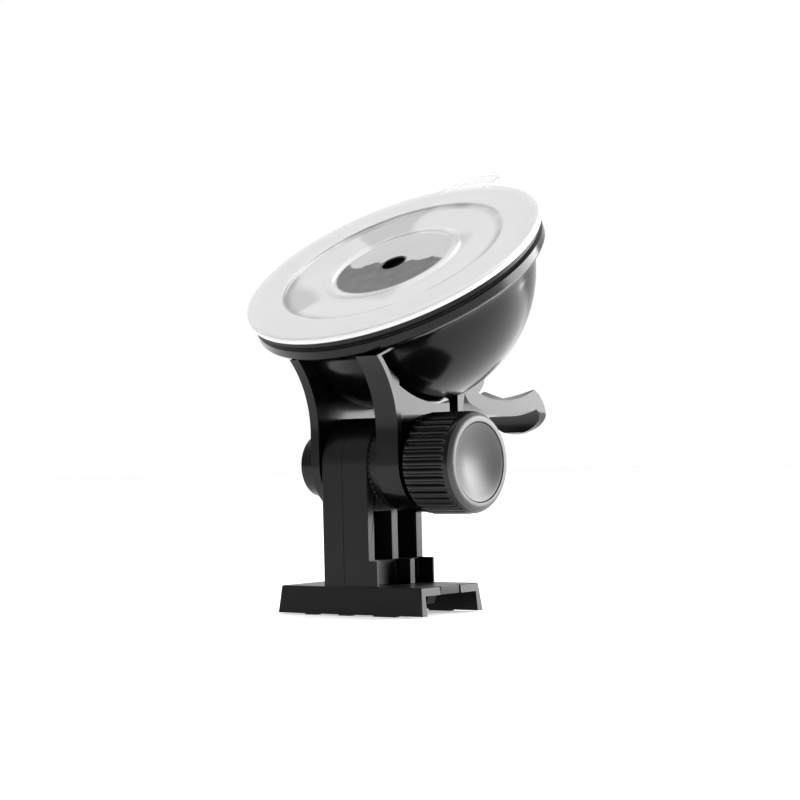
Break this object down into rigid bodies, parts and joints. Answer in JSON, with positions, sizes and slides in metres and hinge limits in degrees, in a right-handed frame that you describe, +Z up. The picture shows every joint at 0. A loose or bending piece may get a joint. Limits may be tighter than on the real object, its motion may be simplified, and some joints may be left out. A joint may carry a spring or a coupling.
{
  "type": "dash camera windscreen suction mount",
  "caption": "Suction mount with a clear cup, cam lever, domed housing, toothed tilt hinge, clamp knob and a slide-on channel for a dash camera",
  "frame": {"origin": "middle of the camera channel, in the plane of its open lower side", "axes": "+X along the hinge bolt towards the knob, which is also the channel's long direction; +Y to the lever side; +Z up"},
  "size_m": [0.07, 0.078, 0.1008],
  "materials": {
    "housing_black": "satin-gloss black moulding, very fine texture",
    "stalk_black": "fine spark-eroded black moulding",
    "knob_black": "semi-matt black moulding",
    "cap_black": "satin dished cap",
    "steel": "zinc-plated steel",
    "clear_cup": "clear soft PVC",
    "ring_rubber": "soft black ring",
    "bearing_plastic": "dark acetal bearing plastic",
    "lever_black": "satin black moulding"
  },
  "bodies": {
    "base": {"channel_plate": "stalk_black", "base_screws": "steel", "stalk_left": "stalk_black", "stalk_right": "stalk_black"},
    "latch": {"latch_tongue": "stalk_black"},
    "head": {"housing": "housing_black", "tooth_ring": "stalk_black", "hinge_bolt": "steel", "bolt_plug": "housing_black", "rim_ring": "ring_rubber", "wear_plate": "steel", "stem_guide": "bearing_plastic", "suction_cup": "clear_cup"},
    "clamp": {"clamp_washer": "steel"},
    "knob": {"knob_body": "knob_black", "knob_nut": "steel", "knob_cap": "cap_black"},
    "stem": {"cup_stem": "bearing_plastic", "lever_pin": "steel"},
    "lever": {"cam_lever": "lever_black"}
  },
  "joints": [
    {"name": "head_tilt", "type": "hinge", "parent": "base", "child": "head", "pos_m": [0, 0, 0.0326], "axis": [1, 0, 0], "range_deg": [-75, 90]},
    {"name": "clamp_travel", "type": "slide", "parent": "head", "child": "clamp", "axis": [1, 0, 0], "range_m": [0, 0.0016]},
    {"name": "knob_turn", "type": "hinge", "parent": "clamp", "child": "knob", "pos_m": [0.015, 0, 0.0326], "axis": [1, 0, 0], "range_deg": [0, 720]},
    {"name": "stem_pull", "type": "slide", "parent": "head", "child": "stem", "axis": [0, 0.5344, -0.8453], "range_m": [0, 0.0025]},
    {"name": "lever_turn", "type": "hinge", "parent": "stem", "child": "lever", "pos_m": [-0.0006, 0.02435, 0.05254], "axis": [1, 0, 0], "range_deg": [0, 55]},
    {"name": "latch_flex", "type": "hinge", "parent": "base", "child": "latch", "pos_m": [0.0094, 0, 0.0054], "axis": [0, -1, 0], "range_deg": [0, 6], "stiffness_Nm_per_rad": 0.3}
  ],
  "couplings": [
    {"joint": "clamp_travel", "follows": "knob_turn", "m_per_rad": 0.00012732},
    {"joint": "stem_pull", "follows": "lever_turn", "m_per_rad": 0.0026044}
  ]
}
